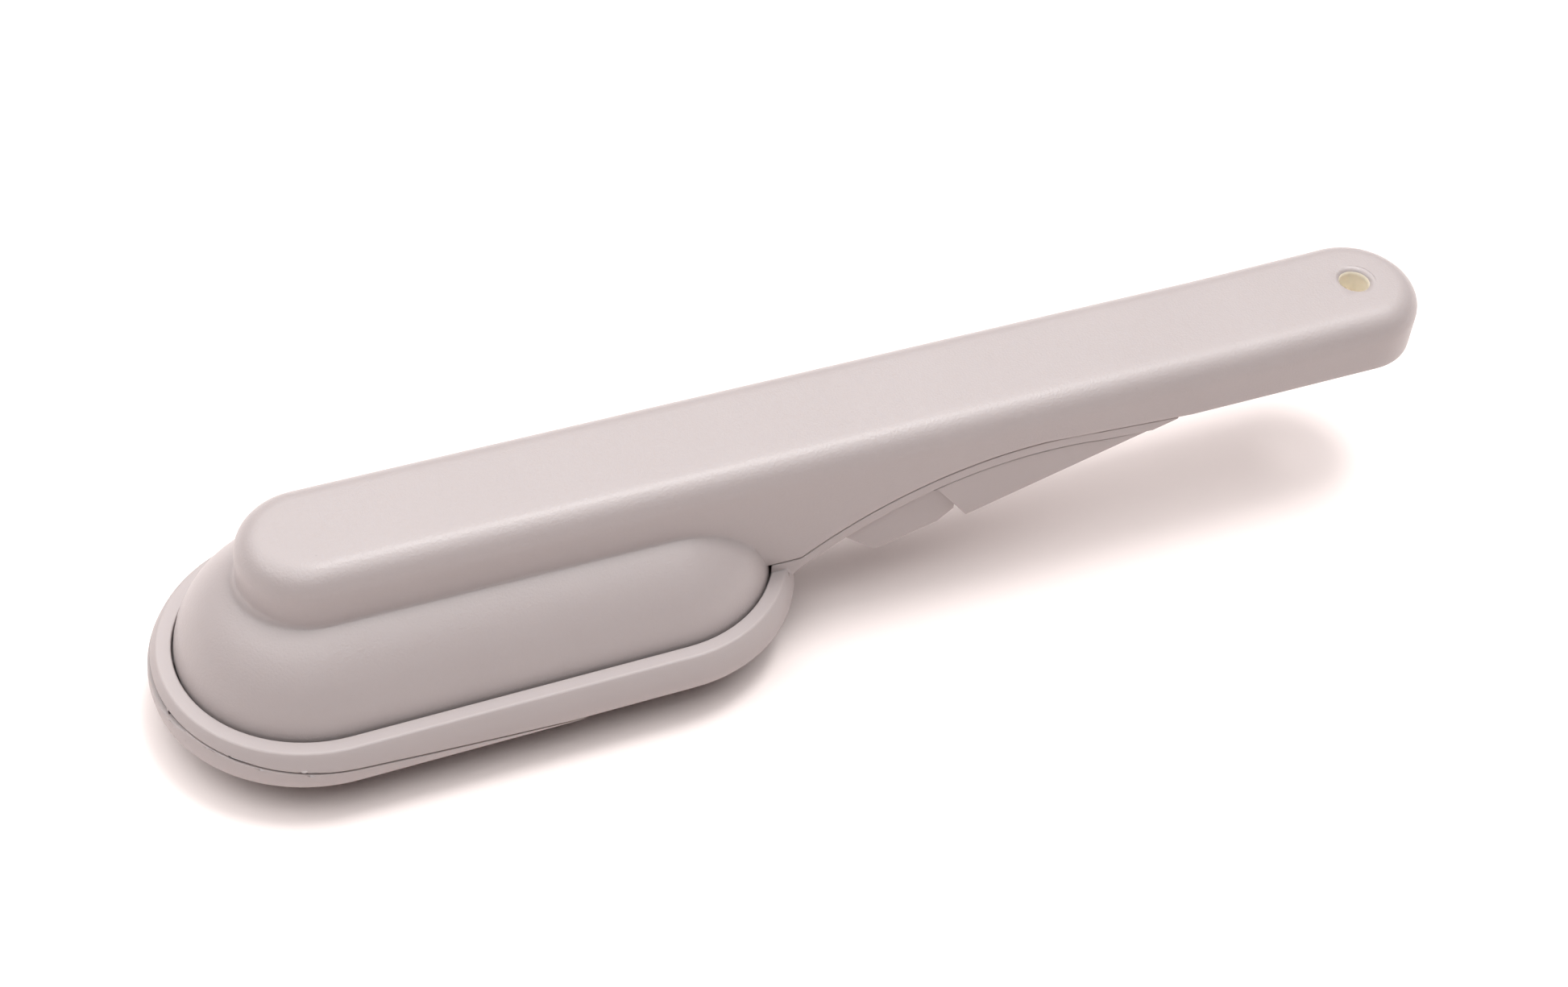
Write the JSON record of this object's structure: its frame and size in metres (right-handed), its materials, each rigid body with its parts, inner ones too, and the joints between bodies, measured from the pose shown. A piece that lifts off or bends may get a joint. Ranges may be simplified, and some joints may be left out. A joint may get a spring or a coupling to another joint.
{
  "type": "stair gate latch",
  "caption": "Lift-to-open gate latch: an oval screw-on head and a long hollow lever with a notched catch under it and a hanging hole at the tip.",
  "frame": {"origin": "middle of the mounting pad's underside, midway between the two fixing screws, on the face that lies on the gate", "axes": "+X from the head along the lever to its tip, +Z away from the gate, +Y across the latch"},
  "size_m": [0.249, 0.057, 0.0414],
  "materials": {
    "moulded_plastic": "matte off-white moulded plastic with a fine spark-eroded texture",
    "bracket_plastic": "plain natural moulded plastic",
    "eyelet_steel": "zinc plated",
    "pin_steel": "ground",
    "spring_steel": "drawn wire",
    "zinc_screws": "zinc plated",
    "bush_metal": "sintered",
    "rubber": "matte"
  },
  "bodies": {
    "base": {"mounting_pad": "rubber", "base_plate": "moulded_plastic", "screw_sleeves": "eyelet_steel", "body_pin": "pin_steel", "hold_down_screws": "zinc_screws", "hold_down_washers": "zinc_screws", "hold_down_springs": "spring_steel", "base_buffers": "rubber"},
    "latch": {"latch_body": "moulded_plastic", "lever_pin": "pin_steel", "lever_pin_clips": "spring_steel", "lever_spring": "spring_steel", "rest_pads": "rubber"},
    "lever": {"lever_shell": "moulded_plastic", "hinge_bracket": "bracket_plastic", "hinge_bracket_screws": "zinc_screws", "lever_pin_bushes": "bush_metal", "catch_hook": "moulded_plastic", "catch_hook_screws": "zinc_screws", "handle_cover": "moulded_plastic", "handle_cover_screws": "zinc_screws"}
  },
  "joints": [
    {"name": "latch_lift", "type": "hinge", "parent": "base", "child": "latch", "pos_m": [-0.0558, 0, 0.0126], "axis": [0, -1, 0], "range_deg": [0, 12], "stiffness_Nm_per_rad": 1.2, "springref_deg": -14.32, "deforming": ["hold_down_springs"]},
    {"name": "lever_lift", "type": "hinge", "parent": "latch", "child": "lever", "pos_m": [-0.045, 0, 0.0175], "axis": [0, -1, 0], "range_deg": [0, 6], "stiffness_Nm_per_rad": 1, "springref_deg": -14.32, "deforming": ["lever_spring"]}
  ]
}
